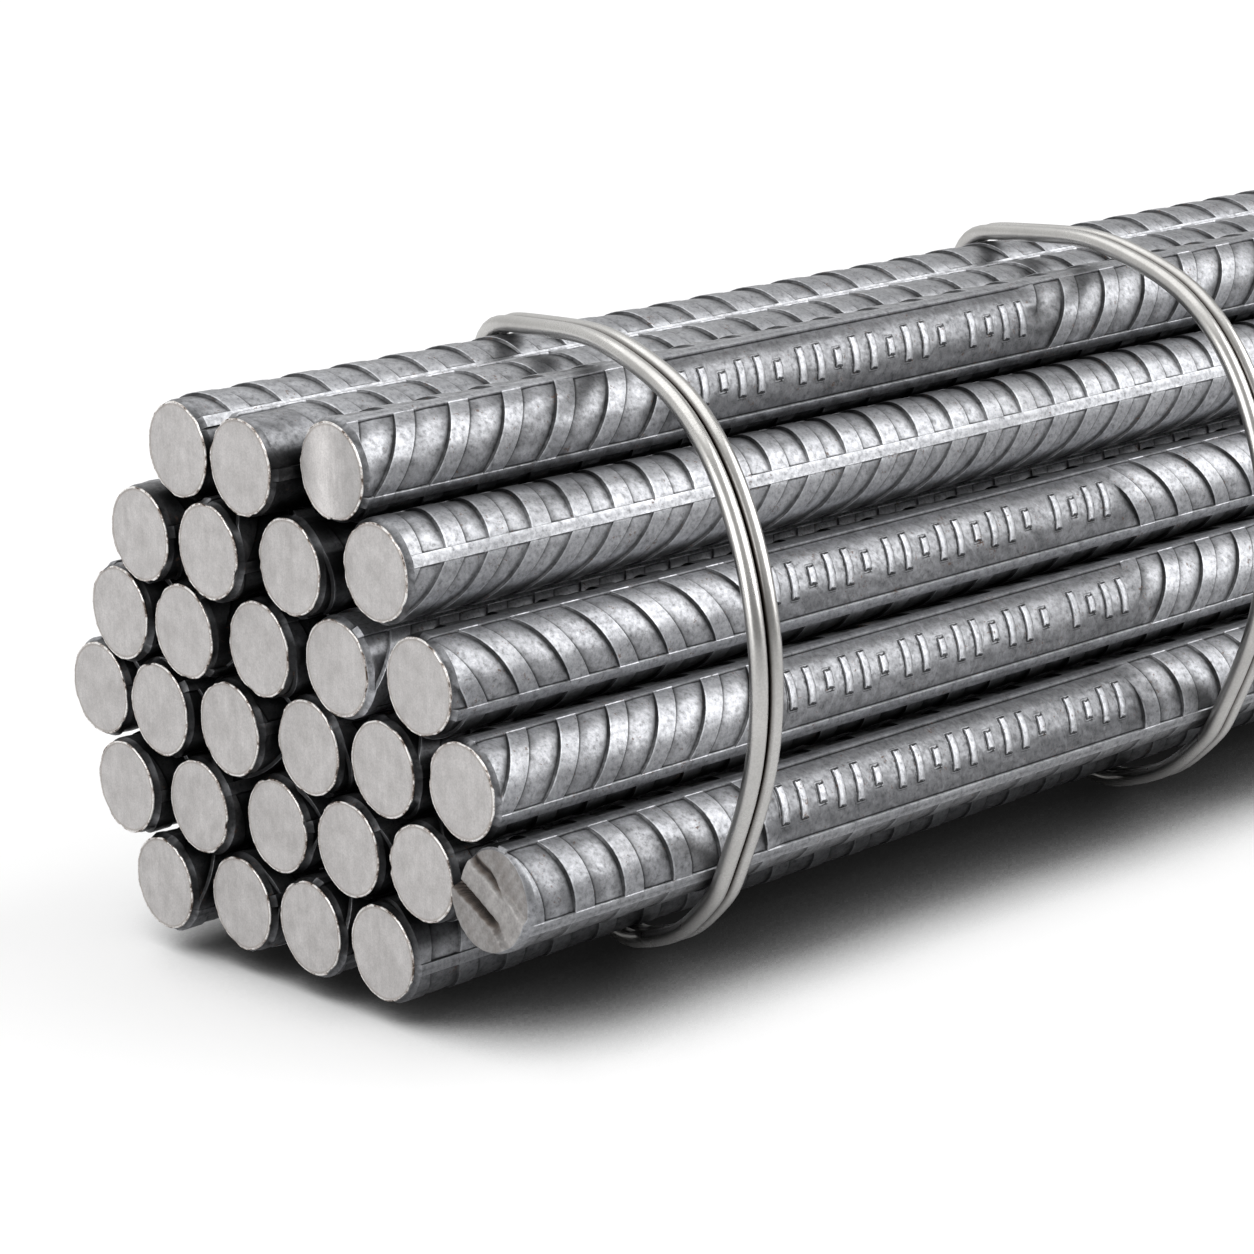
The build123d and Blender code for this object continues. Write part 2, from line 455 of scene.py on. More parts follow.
def rib_shape(pitch, sharp):
    """Rows along one rib and its pocket, each with a place, a radius and a painted light and shade for
    every line.
    sharp is 1 for each field of crisp ribs and less where they are rolled soft."""
    sharp = sharp[LINE_FIELD]
    bow = arch(LINE_ACROSS)
    foot = FOOT_R + FOOT_GAIN * bow
    crest = CREST_R + CREST_GAIN * bow
    band = BAND_R + BAND_GAIN * bow
    pocket = POCKET_R + POCKET_GAIN * bow
    side = SIDE_LONG + SIDE_GAIN * bow
    after = BAND_LONG + STEP_LONG
    left = pitch - after
    foot_painted_shade = FOOT_SHADE - FOOT_SHADE_DEEPENING * bow
    rows = (
        (0.0, foot, foot_painted_shade),
        (SIDE_BEND_SHARE * side, foot + SIDE_BEND_RISE * (crest - foot), FOOT_SHADE - SIDE_SHADE_DEEPENING * bow),
        (side, crest, CREST_HIGHLIGHT),
        (side + CREST_LONG, crest - CREST_DROP, BAND_START_LIGHT),
        (BAND_LONG, band, BAND_LIGHT),
        (after, pocket, STEP_LINE_SHADE),
        (after + STEP_ROOT_LONG, pocket, STEP_ROOT_SHADE),
        (after + STEP_SHADE_LONG, pocket + STEP_SHADE_RISE * POCKET_CROWN, STEP_SHADE_LEVEL),
        (after + POCKET_TOP_SHARE * left, pocket + POCKET_CROWN, POCKET_LIGHT),
        (after + POCKET_BACK_SHARE * left,
         foot + POCKET_BACK_HEIGHT * (pocket - foot) + POCKET_BACK_CROWN * POCKET_CROWN, POCKET_BACK_LIGHT),
        (pitch - POCKET_END_LONG, foot + POCKET_END_HEIGHT * (pocket - foot),
         POCKET_END_SHADE - POCKET_END_SHADE_DEEPENING * bow),
        (pitch, foot, foot_painted_shade),
    )
    places, radii, painted_light = (np.array([np.broadcast_to(row[i], bow.shape) for row in rows]) for i in range(3))
    painted_light = SOFT_TONE + sharp * (painted_light - SOFT_TONE)
    radii = pocket + sharp * (radii - pocket)
    # Painted shade along each field's edge beside the lengthwise ribs, in the pocket rows
    painted_light[POCKET_ROWS, LINE_FIELD_EDGE] = OUTLINE_SHADE
    return places, radii, painted_light


def radius_at(line, along, lead, phase, pitch, shape, smooth_parts):
    """Radius of the ribbed surface on one line at the places along it, and its painted light and shade
    there.
    A smooth part is its field, or None for all of them, and where it starts and ends."""
    if LINE_STRIP[line]:
        drop, painted_light = (STRIP_EDGE_DROP, STRIP_EDGE_HIGHLIGHT) if LINE_STRIP_EDGE[line] else (0.0, STRIP_LIGHT)
        return np.full(along.shape, STRIP_R - drop), np.full(along.shape, painted_light)
    places, radii, painted_lights = shape
    place = (along - lead[line] - phase) % pitch
    radius = np.interp(place, places[:, line], radii[:, line])
    painted_light = np.interp(place, places[:, line], painted_lights[:, line])
    for field, start, end in smooth_parts:
        if field is None or LINE_FIELD[line] == field:
            smooth = PANEL_R + PANEL_CROWN * arch(LINE_ACROSS[line])
            smooth_painted_light = OUTLINE_SHADE if LINE_FIELD_EDGE[line] else PANEL_TONE
            inside = ease(np.minimum(along - start, end - along) / PANEL_FADE + 0.5)
            radius = radius + (smooth - radius) * inside
            painted_light = painted_light + (smooth_painted_light - painted_light) * inside
        # Painted shade darkens the dent where the ribs meet the panel
        if field is not None and LINE_FIELD[line] == field:
            dent = (np.exp(-((along - start + DENT_LONG / 2) / DENT_LONG) ** 2)
                    + np.exp(-((along - end - DENT_LONG / 2) / DENT_LONG) ** 2))
            dent = PANEL_DENT * arch(LINE_ACROSS[line]) * dent
            radius = radius - dent
            painted_light = np.maximum(painted_light - DENT_SHADE * dent, OUTLINE_SHADE)
    return radius, painted_light


def bar_rows(low, high, lead, phase, pitch, shape, fine_to, ribbed):
    """Where each row of the ribbed grid lies on every line, and whether it is fine."""
    places = shape[0]
    first = math.floor((low - lead.max() - phase) / pitch) - 1
    last = math.ceil((high - lead.min() - phase) / pitch) + 1
    rows = []
    fine_rows = []
    for rib in range(first, last):
        start = phase + rib * pitch
        fine = start < fine_to
        if ribbed is not None and low + ribbed < start < high - ribbed:
            continue
        for step in range(len(places) - 1) if fine else COARSE_ROWS:
            rows.append(start + places[step] + lead)
            fine_rows.append(fine)
    return np.array(rows), np.array(fine_rows)


def ribbed_surface(parts, origin, near, far, turn, lead, phase, pitch, fine_to, ribbed, smooth_parts,
                   shade, sharp):
    """Adds the ribbed surface and returns the rings of points at its two ends."""
    shape = rib_shape(pitch, sharp)
    along, fine = bar_rows(near, far, lead, phase, pitch, shape, fine_to, ribbed)
    place = np.clip(along, near, far)
    radius = np.zeros_like(place)
    painted_light = np.zeros_like(place)
    for line in EVERY_LINE:
        radius[:, line], painted_light[:, line] = radius_at(
            line, place[:, line], lead, phase, pitch, shape, smooth_parts)
    # Painted shade from neighbouring bars and from below, times a random tone
    painted_light = painted_light * shade[None, :] * random.uniform(1.0 - WEAR_SPREAD, 1.0 + WEAR_SPREAD, painted_light.shape)
    angle = np.radians(LINE_ANGLE + turn)[None, :]
    points = np.stack([place, origin.y + radius * np.cos(angle), origin.z + radius * np.sin(angle)], -1)
    used = np.ones(place.shape, bool)
    used[~fine] = LINE_COARSE[None, :]
    number = np.full(place.shape, -1, np.int64)
    inside = used & (place > near) & (place < far)
    first = parts.add_points(points[inside], painted_light[inside])
    number[inside] = first + np.arange(inside.sum())
    ends = []
    for row, clamped, lines in ((0, place <= near, EVERY_LINE), (-1, place >= far, COARSE_LINES)):
        ring = np.full(len(LINES), -1, np.int64)
        ring[lines] = parts.add_points(points[row, lines], painted_light[row, lines]) + np.arange(len(lines))
        number = np.where(clamped & used, ring[None, :], number)
        ends.append((ring, lines, points[row]))
    for lines, rows_here in ((EVERY_LINE, np.flatnonzero(fine[:-1] & fine[1:])),
                             (COARSE_LINES, np.flatnonzero(~fine[:-1]))):
        after = np.roll(lines, -1)
        a = number[rows_here][:, lines]
        b = number[rows_here][:, after]
        c = number[rows_here + 1][:, after]
        d = number[rows_here + 1][:, lines]
        parts.add_quads(np.stack([a, b, c, d], -1))
    for row in np.flatnonzero(fine[:-1] & ~fine[1:]):
        for span in COARSE_SPANS:
            parts.add_poly([*number[row, span], number[row + 1, span[-1]], number[row + 1, span[0]]])
    return ends


def neighbour_shade(bar, angles):
    """The painted shade at each angle of a bar, from 1 in the open to less beside a neighbour or below,
    times the bar's painted brightness.
    """
    here = bar_centre(bar)
    dark = np.zeros_like(angles)
    for other in BARS:
        way = bar_centre(other) - here
        if other == bar or math.hypot(way.y, way.z) > NEIGHBOUR_REACH:
            continue
        away = angle_from(math.degrees(math.atan2(way.z, way.y)), angles)
        dark = np.maximum(dark, np.exp(-(away / SHADE_SPREAD) ** 2))
    below = angle_from(BELOW_ANGLE, angles)
    dark = np.maximum(LIT_SHARES.get(bar, 1.0) * dark,
                      BELOW_SHADES.get(bar, 0.0) * np.exp(-(below / SHADE_SPREAD) ** 2))
    return (1.0 - SHADE_DEPTH * dark) * BAR_PAINTED_BRIGHTNESS.get(bar, 1.0)


# A sawn end

def edge_wobble(angles):
    """How far the burr's edge stands out or in at each angle, from its waver and its chips."""
    wobble = np.zeros_like(angles)
    for wave in BURR_WAVES:
        height = BURR_WOBBLE / math.sqrt(wave / BURR_WAVES[0])
        wobble += np.sin(wave * angles + random.uniform(0, math.tau)) * height
    for _ in range(CHIPS):
        middle = random.uniform(0, math.tau)
        width = random.uniform(*CHIP_WIDTHS)
        depth = CHIP_DEPTH * random.uniform(*CHIP_DEPTH_SHARES)
        wobble -= depth * np.exp(-(angle_from(middle, angles, math.tau) / width) ** 2)
    return wobble


def sawn_end(parts, end, origin, tip, way, turn, shade):
    """Closes one end of a bar. way is 1 at the near end and -1 at the far end."""
    ring, lines, ring_points = end
    angles = np.radians(LINE_ANGLE + turn)
    wobble = edge_wobble(angles)
    groove = np.hypot(ring_points[:, 1] - origin.y, ring_points[:, 2] - origin.z) - GROOVE_STEP
    # Painted shade on the groove and the skin behind the burr, and in a ring just inside the face's edge
    rings = (
        (GROOVE_DEPTH, np.minimum(GROOVE_R, groove), GROOVE_SHADE * shade, SKIN),
        (BURR_BACK_DEPTH, FACE_R - BURR_RISE + wobble, BURR_BACK_SHADE * shade, SKIN),
        (BURR_DEPTH, FACE_R + BURR_RISE + wobble, 1.0, BURR_EDGE),
        (0.0, FACE_R - BURR_LIP + wobble, 1.0, BURR_EDGE),
        (0.0, FACE_R - BURR_INNER_LIP + wobble / 2, 1.0, BURR_EDGE),
        (FACE_DEPTH, FACE_R - FACE_EDGE, FACE_EDGE_SHADE, FACE),
        (FACE_DEPTH, FACE_R - FACE_BORDER, FACE_MARK, FACE),
        (FACE_DEPTH, FACE_R * FACE_MIDDLE_SHARE, FACE_MARK, FACE),
    )

    def add_quads(corners, kind):
        quads = np.stack(corners, -1)
        parts.add_quads(quads[:, ::-1] if way > 0 else quads, kind)

    before = ring if len(lines) == len(LINES) else None
    for depth, radius, mark, kind in rings:
        place = np.full(len(LINES), tip + way * depth)
        here = EVERY_LINE + parts.add_points(np.stack([
            place, origin.y + radius * np.cos(angles), origin.z + radius * np.sin(angles)], -1), mark)
        if before is not None:
            add_quads([before, here, np.roll(here, -1), np.roll(before, -1)], kind)
        else:
            for span in COARSE_SPANS:
                parts.add_poly([ring[span[0]], *here[span], ring[span[-1]]], kind)
        before = here
    middle = parts.add_points([[tip + way * FACE_DEPTH, origin.y, origin.z]], FACE_MARK)
    middle = np.full(len(LINES), middle)
    add_quads([middle, before, np.roll(before, -1), middle], FACE)


# The torn end

def torn_face(across, up):
    """How far the torn face stands back at each place on it, and how pale it is there. A lobe still
    stands below, a crevice parts it from the main face, and a gouge runs down from the far side.
    The crevice, the gouge and the deeper part above the gouge are painted dark as shade, the lobe a
    little darker, and the roughness lighter and darker with its bumps as painted shading."""
    over_lobe = up - LOBE_TOP - LOBE_SLOPE * across - LOBE_BEND * np.maximum(across - LOBE_BEND_AT, 0.0)
    beyond_lobe = ease(over_lobe / LINE_SOFTNESS)
    crevice = np.exp(-((over_lobe - CREVICE_OFF) / CREVICE_WIDTH) ** 2)
    crevice = crevice * ease((CREVICE_END - across) / CUT_FADE)
    over_gouge = up - GOUGE_CROSSING - GOUGE_SLOPE * (across - GOUGE_CROSSING)
    over_gouge = over_gouge + GOUGE_RIPPLE * np.sin(GOUGE_WAVE * across)
    gouge = np.exp(-(over_gouge / (GOUGE_WIDTH - GOUGE_NARROWING * across)) ** 2)
    gouge = gouge * ease((GOUGE_END - across) / CUT_FADE)
    upper = ease(over_gouge / LINE_SOFTNESS)
    rough = ROUGHNESS * sum(np.sin(a * across + u * up + start) for a, u, start in ROUGH_WAVES)
    main = (MAIN_DEPTH + MAIN_RISE * up + MAIN_SLOPE * across + CREVICE_DEPTH * crevice
            + GOUGE_DEPTH * gouge + UPPER_DEPTH * upper)
    depth = np.clip(LOBE_DEPTH + beyond_lobe * main + rough, LEAST_DEPTH, TORN_DEPTH - TORN_MARGIN)
    # Painted shade in the gouge, the crevice and the deeper upper part
    pale = (MAIN_PALE - GOUGE_DARK * gouge - CREVICE_DARK * crevice - UPPER_DARK * upper
            - LOBE_DARK * (1.0 - beyond_lobe) + ROUGHNESS_SHADE * rough)
    return depth, np.clip(pale, LEAST_PALE, 1.0)


def torn_end(parts, end, origin, tip, turn):
    """Closes the near end of the torn bar: its skin up to the torn rim, then the face ring by ring."""
    ring, lines, ring_points = end

    def add_rings(before, angles, steps):
        for depth, radius, mark, kind in steps:
            points = np.stack(np.broadcast_arrays(
                tip + depth, origin.y + radius * np.cos(angles), origin.z + radius * np.sin(angles)), -1)
            here = parts.add_points(points, mark) + np.arange(len(angles))
            if before is not None:
                parts.add_quads(np.stack([before, np.roll(before, -1), np.roll(here, -1), here], -1), kind)
            before = here
        return before

    angles = np.radians(LINE_ANGLE[lines] + turn)
    rim, _ = torn_face(-np.cos(angles), np.sin(angles))
    skin_r = np.hypot(ring_points[lines, 1] - origin.y, ring_points[lines, 2] - origin.z)
    add_rings(ring[lines], angles, [
        (np.minimum(rim + SHOULDER_BACK, TORN_DEPTH - SHOULDER_MARGIN), skin_r - SHOULDER_STEP,
         SHOULDER_BRIGHTNESS, SKIN),
        (np.minimum(rim + NECK_BACK, TORN_DEPTH - NECK_MARGIN), FACE_R, NECK_BRIGHTNESS, SKIN),
        (rim, FACE_R - RIM_STEP, RIM_BRIGHTNESS, SKIN),
    ])
    angles = np.arange(TORN_ANGLES) * math.tau / TORN_ANGLES
    # The root of the face is painted dark as shade
    steps = [(TORN_DEPTH, FACE_R - ROOT_STEP, ROOT_PALE, TORN_FACE)]
    for share in np.linspace(OUTER_SHARE, INNER_SHARE, TORN_RINGS):
        depth, pale = torn_face(-share * np.cos(angles), share * np.sin(angles))
        steps.append((depth, share * FACE_R, pale, TORN_FACE))
    before = add_rings(None, angles, steps)
    parts.add_poly(before[::-1], TORN_FACE)


# Plain strokes on a panel: short raised bars, leaning, in uneven groups

def add_stroke(parts, origin, start, middle_angle, long_share):
    half = STROKE_HEIGHT / 2 * long_share
    rows = STROKE_ROWS
    around = np.concatenate([[-half], np.linspace(STROKE_END - half, half - STROKE_END, rows - 2), [half]])
    width = STROKE_WIDTH / 2 * np.ones(rows)
    width[[0, -1]] *= STROKE_END_NARROWING
    base = PANEL_R + PANEL_CROWN + STROKE_BASE
    grid = []
    marks = []
    for side, out, rise, mark in STROKE_SECTIONS:
        reach = around * (half + out) / half
        angle = math.radians(middle_angle) + reach / PANEL_R
        radii = np.full(rows, base + rise)
        radii[[0, -1]] = base
        place = start + side * (width + out) - reach / STROKE_HEIGHT * STROKE_LEAN
        grid.append(np.stack([
            place, origin.y + radii * np.cos(angle), origin.z + radii * np.sin(angle)], -1))
        shown = np.full(rows, mark)
        # The stroke's ends are painted darker as shade
        shown[[0, -1]] = min(mark, STROKE_END_SHADE)
        marks.append(shown)
    grid = np.array(grid)
    first = parts.add_points(grid.reshape(-1, 3), np.concatenate(marks))
    number = first + np.arange(grid.shape[0] * rows).reshape(-1, rows)
    for a, b in zip(number, np.roll(number, -1, 0)):
        parts.add_quads(np.stack([a[:-1], a[1:], b[1:], b[:-1]], -1))
    parts.add_poly(list(number[:, 0]))
    parts.add_poly(list(number[::-1, -1]))


def add_strokes(parts, origin, turn, field, start):
    middle = (STRIP_ANGLES[field] + STRIP_ANGLES[field + 1]) / 2 + turn
    for group, count in STROKE_GROUPS:
        for step in range(count):
            share = STROKE_SHARES[(step + count) % len(STROKE_SHARES)]
            add_stroke(parts, origin, start + group + step * STROKE_STEP, middle, share)


# Materials

def new_material(name):
    """A new material, and its empty tree."""
    material = bpy.data.materials.new(name)
    material.use_nodes = True
    material.node_tree.nodes.clear()
    return material, material.node_tree


def feed(tree, socket, value):
    """Links a value from another node to the socket, or sets it."""
    if isinstance(value, bpy.types.NodeSocket):
        tree.links.new(value, socket)
    else:
        socket.default_value = value


def add_node(tree, kind, inputs=None, **settings):
    node = tree.nodes.new(kind)
    for key, value in settings.items():
        setattr(node, key, value)
    for key, value in (inputs or {}).items():
        feed(tree, node.inputs[key], value)
    return node


def place_on_piece(tree):
    return add_node(tree, "ShaderNodeTexCoord").outputs["Object"]


def point_mark(tree):
    return add_node(tree, "ShaderNodeAttribute", attribute_name="painted_light_mark").outputs["Fac"]


def noise(tree, vector, scale, detail, roughness):
    node = add_node(tree, "ShaderNodeTexNoise",
                    {"Vector": vector, "Scale": scale, "Detail": detail, "Roughness": roughness})
    return node.outputs["Fac"]


def ramp(tree, value, stops):
    node = add_node(tree, "ShaderNodeValToRGB", {"Fac": value})
    elements = node.color_ramp.elements
    while len(elements) < len(stops):
        elements.new(0.5)
    for element, (place, colour) in zip(elements, stops):
        element.position = place
        element.color = colour if len(colour) == 4 else (*colour, 1.0)
    return node.outputs["Color"]


def mix_colour(tree, factor, first, second, blend="MIX"):
    node = add_node(tree, "ShaderNodeMix", data_type="RGBA", blend_type=blend)
    for socket, value in ((node.inputs[0], factor), (node.inputs[6], first), (node.inputs[7], second)):
        feed(tree, socket, value)
    return node.outputs[2]


def tinted(tree, base, value, stops, factor=1.0):
    """The base colour times a ramp's colour at the value."""
    return mix_colour(tree, factor, base, ramp(tree, value, stops), "MULTIPLY")


def maths(tree, operation, *values):
    node = add_node(tree, "ShaderNodeMath", operation=operation)
    for socket, value in zip(node.inputs, values):
        feed(tree, socket, value)
    return node.outputs[0]


def mix_shaders(tree, factor, first, second):
    return add_node(tree, "ShaderNodeMixShader", {"Fac": factor, 1: first.outputs[0], 2: second.outputs[0]})


def bump(tree, height, strength, distance, normal=None):
    inputs = {"Strength": strength, "Distance": distance, "Height": height}
    if normal is not None:
        inputs["Normal"] = normal
    return add_node(tree, "ShaderNodeBump", inputs).outputs["Normal"]


def cover(tree, base, roughness, metallic, normal=None):
    """Ends a material's tree with its surface."""
    inputs = {"Base Color": base, "Roughness": roughness, "Metallic": metallic}
    if normal is not None:
        inputs["Normal"] = normal
    shader = add_node(tree, "ShaderNodeBsdfPrincipled", inputs)
    add_node(tree, "ShaderNodeOutputMaterial", {"Surface": shader.outputs["BSDF"]})


def grey(value):
    return (value, value, value, 1.0)


def bar_steel():
    """Grey mill surface: mottled, with painted highlights on crests and edges, painted shade near black in
    the roots and between bars, and a few rust specks.
    """
    material, tree = new_material("bar_steel")
    place, painted_light_mark = place_on_piece(tree), point_mark(tree)
    cloud = noise(tree, place, 70.0, 5.0, 0.6)
    mottle = noise(tree, place, 900.0, 4.0, 0.7)
    grain = noise(tree, place, 2300.0, 3.0, 0.6)
    base = ramp(tree, cloud, ((0.3, (0.296, 0.301, 0.316)), (0.7, (0.35, 0.354, 0.368))))
    base = tinted(tree, base, mottle, ((0.3, grey(0.42)), (0.45, grey(0.88)), (0.7, grey(1.35))), 0.8)
    # Painted shade darkens roots, steps and gaps between bars; painted highlights brighten crests and edges
    base = tinted(tree, base, painted_light_mark, ((0.0, grey(0.03)), (0.12, grey(0.14)), (0.3, grey(0.5)),
                                       (0.5, grey(0.95)), (0.7, grey(1.15)), (1.0, grey(1.65))))
    patches = noise(tree, place, 210.0, 3.0, 0.7)
    spots = maths(tree, "MULTIPLY", patches, noise(tree, place, 1500.0, 2.0, 0.5))
    rust = ramp(tree, spots, ((0.38, grey(0.0)), (0.44, grey(1.0))))
    base = mix_colour(tree, maths(tree, "MULTIPLY", rust, 0.5), base, (0.2, 0.11, 0.07, 1.0))
    rough = ramp(tree, mottle, ((0.3, grey(0.48)), (0.7, grey(0.3))))
    rough = mix_colour(tree, rust, rough, grey(0.75))
    dents = bump(tree, mottle, 0.45, 0.14 * MM)
    cover(tree, base, rough, 0.9, bump(tree, grain, 0.3, 0.05 * MM, dents))
    return material


def sawn_steel(name, band_at=None):
    """Pale sawn face: warm grey, softly mottled, with faint upright streaks and a few dark nicks, and
    a brown ring of painted shade just inside its edge. One face has a broad painted upright shine
    besides, over its middle at band_at."""
    material, tree = new_material(name)
    place, painted_light_mark = place_on_piece(tree), point_mark(tree)
    stretch = add_node(tree, "ShaderNodeMapping", {"Vector": place, "Scale": (1.0, 1.0, 0.16),
                                                   "Rotation": (0.12, 0.0, 0.0)}).outputs["Vector"]
    streak = noise(tree, stretch, 1100.0, 4.0, 0.7)
    cloud = noise(tree, place, 230.0, 5.0, 0.65)
    nick = noise(tree, place, 900.0, 5.0, 0.75)
    grain = noise(tree, place, 2600.0, 3.0, 0.6)
    base = ramp(tree, cloud, ((0.3, (0.48, 0.462, 0.452)), (0.7, (0.65, 0.63, 0.62))))
    base = tinted(tree, base, streak, ((0.3, grey(0.93)), (0.7, grey(1.05))))
    base = tinted(tree, base, grain, ((0.35, grey(0.88)), (0.65, grey(1.06))))
    # A painted upright shine over the face's middle
    if band_at is not None:
        across = add_node(tree, "ShaderNodeSeparateXYZ", {"Vector": place}).outputs["Y"]
        across = maths(tree, "DIVIDE", maths(tree, "SUBTRACT", across, band_at), FACE_R * MM)
        waver = maths(tree, "MULTIPLY", maths(tree, "SUBTRACT", streak, 0.5), SHINE_WAVER)
        away = maths(tree, "ABSOLUTE", maths(tree, "ADD", across, waver))
        base = tinted(tree, base, away, ((SHINE_CORE, grey(SHINE_GAIN)), (SHINE_HALF_WIDTH, grey(1.0)),
                                         (SHINE_END, grey(SHINE_EDGE))))
    marks = ramp(tree, nick, ((0.27, grey(1.0)), (0.35, grey(0.0))))
    base = mix_colour(tree, maths(tree, "MULTIPLY", marks, 0.45), base, (0.22, 0.19, 0.17, 1.0))
    # A brown ring of painted shade just inside the face's edge
    base = tinted(tree, base, painted_light_mark, ((FACE_EDGE_SHADE, (0.72, 0.67, 0.63)), (0.45, grey(1.0))))
    cover(tree, base, 0.6, 0.1, bump(tree, cloud, 0.25, 0.08 * MM))
    return material


def torn_steel():
    """Grey torn metal with a brown cast, with painted shade in its gouge, crevice and root."""
    material, tree = new_material("torn_end")
    place, painted_light_mark = place_on_piece(tree), point_mark(tree)
    cloud = noise(tree, place, 260.0, 5.0, 0.7)
    grain = noise(tree, place, 1500.0, 4.0, 0.65)
    base = ramp(tree, cloud, ((0.3, (0.29, 0.278, 0.27)), (0.7, (0.42, 0.405, 0.396))))
    # Painted shade in the gouge, the crevice, the deeper upper part and the root
    base = tinted(tree, base, painted_light_mark, ((0.05, (0.05, 0.035, 0.03)), (0.35, (0.4, 0.34, 0.3)),
                                       (0.6, grey(1.0)), (1.0, grey(1.8))))
    base = tinted(tree, base, grain, ((0.3, grey(0.75)), (0.7, grey(1.1))))
    cover(tree, base, 0.5, 0.35, bump(tree, grain, 0.5, 0.15 * MM))
    return material


def burr_steel():
    """The thin edge left by the saw, bright as polished metal and painted near white besides as a highlight
    along the rim, with brown tints and dark nicks.
    """
    material, tree = new_material("burr")
    patch = noise(tree, place_on_piece(tree), 420.0, 4.0, 0.7)
    base = ramp(tree, patch, ((0.38, (0.1, 0.07, 0.05)), (0.46, (0.5, 0.44, 0.4)),
                              (0.54, (0.98, 0.96, 0.93))))
    cover(tree, base, 0.35, 0.5)
    return material


def tie_steel():
    """Bright satin wire, finely mottled, with painted shade, tinted brown, in the gap between turns."""
    material, tree = new_material("tie_wire")
    place, painted_light_mark = place_on_piece(tree), point_mark(tree)
    cloud = noise(tree, place, 45.0, 4.0, 0.55)
    grain = noise(tree, place, 2200.0, 3.0, 0.6)
    base = ramp(tree, cloud, ((0.3, (0.53, 0.52, 0.5)), (0.7, (0.69, 0.68, 0.657))))
    base = tinted(tree, base, grain, ((0.3, grey(0.88)), (0.7, grey(1.06))))
    # Painted shade, tinted brown, in the gap between the two turns
    base = tinted(tree, base, painted_light_mark, ((0.1, (0.06, 0.04, 0.03)), (0.55, grey(1.0))))
    rough = ramp(tree, cloud, ((0.3, grey(0.34)), (0.7, grey(0.24))))
    cover(tree, base, rough, 1.0, bump(tree, grain, 0.2, 0.03 * MM))
    return material


STEEL = bar_steel()
SAWN = sawn_steel("sawn_end")
SHINING = sawn_steel("sawn_end_shining", centre_of(node_name(SHINING_BAR)).y + SHINE_OFF * FACE_R * MM)
BURR = burr_steel()
TORN = torn_steel()
WIRE = tie_steel()


# Bars

def make_bar(bar):
    low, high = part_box(node_name(bar))
    origin = bar_centre(bar)
    near_tip, far_tip = low[0] / MM, high[0] / MM
    torn = bar == TORN_BAR
    near, far = near_tip + (TORN_DEPTH if torn else CAP_DEPTH), far_tip - CAP_DEPTH
    spare = (random.uniform(0, 360), COMMON_LEADS, random.uniform(0, PITCH), 1, PITCH, None)
    turn, leads, foot, front_field, pitch, panel_start = BAR_SETTINGS.get(bar, spare)
    lead = line_lead(leads)
    phase = near_tip + foot - sum(leads[:front_field]) - leads[front_field] / 2
    fine_to = near_tip + FINE_REACHES.get(bar, FINE_REACH_ELSEWHERE)
    ribbed = None if bar in SHOWN else INNER_REACH
    panels = []
    place = near_tip + (panel_start or random.uniform(*PANEL_SPARE_STARTS))
    while place + PANEL_LENGTH < far_tip - PANEL_LENGTH and ribbed is None:
        panels.append((front_field, place, place + PANEL_LENGTH))
        place += PANEL_REPEAT
    smooth_parts = list(panels)
    if bar in COLLARS:
        smooth_parts.append((None, near_tip - PITCH, near_tip + COLLARS[bar]))
    shade = neighbour_shade(bar, LINE_ANGLE + turn)
    parts = MeshParts()
    ends = ribbed_surface(parts, origin, near, far, turn, lead, phase, pitch, fine_to, ribbed,
                          smooth_parts, shade, np.array(SHARP_SHARES.get(bar, (1.0, 1.0, 1.0))))
    if torn:
        torn_end(parts, ends[0], origin, near_tip, turn)
    else:
        sawn_end(parts, ends[0], origin, near_tip, 1, turn, shade)
    sawn_end(parts, ends[1], origin, far_tip, -1, turn, shade)
    for field, start, _ in panels:
        add_strokes(parts, origin, turn, field, start)
    materials = [STEEL, SHINING if bar == SHINING_BAR else SAWN, BURR]
    if torn:
        materials.append(TORN)
    piece = parts.build("ribbed_bar_" + bar, BAR_SMOOTH_ANGLE, materials)
    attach(piece, "root")
    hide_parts(node_name(bar))


for bar in BARS:
    make_bar(bar)


# Ties

FIRST_ACROSS = bar_centre("4a").y
TIE_CROSSING = (bar_centre("4f").y - FIRST_ACROSS) * WIDENING


def tie_rounds():
    """The circles in the tie's own slanted plane: across from the widest row's first bar, up, radius."""
    lowest = bar_centre("6a").z
    wire_off = (BAR_R + WIRE_R + WIRE_CLEARANCE) * WIDENING

    def round_bar(bar):
        centre = bar_centre(bar)
        return (centre.y - FIRST_ACROSS) * WIDENING, centre.z, wire_off

    def bulge(shares):
        across, up, radius = (share * BAR_PITCH for share in shares)
        return across * WIDENING, lowest + up, radius

    return [
        round_bar("6d"), round_bar("6a"), round_bar("4a"), round_bar("1a"),
        bulge(TOP_BULGE_SHARES), bulge(SIDE_BULGE_SHARES), round_bar("5f"), bulge(LOW_BULGE_SHARES),
    ]


def run_angle(first, second):
    """The angle of the outward normal of the straight run from one circle to the next."""
    across, up = second[0] - first[0], second[1] - first[1]
    lean = (first[2] - second[2]) / math.hypot(across, up)
    return math.atan2(up, across) - math.acos(lean)


def on_round(circle, angle):
    return circle[0] + circle[2] * math.cos(angle), circle[1] + circle[2] * math.sin(angle)


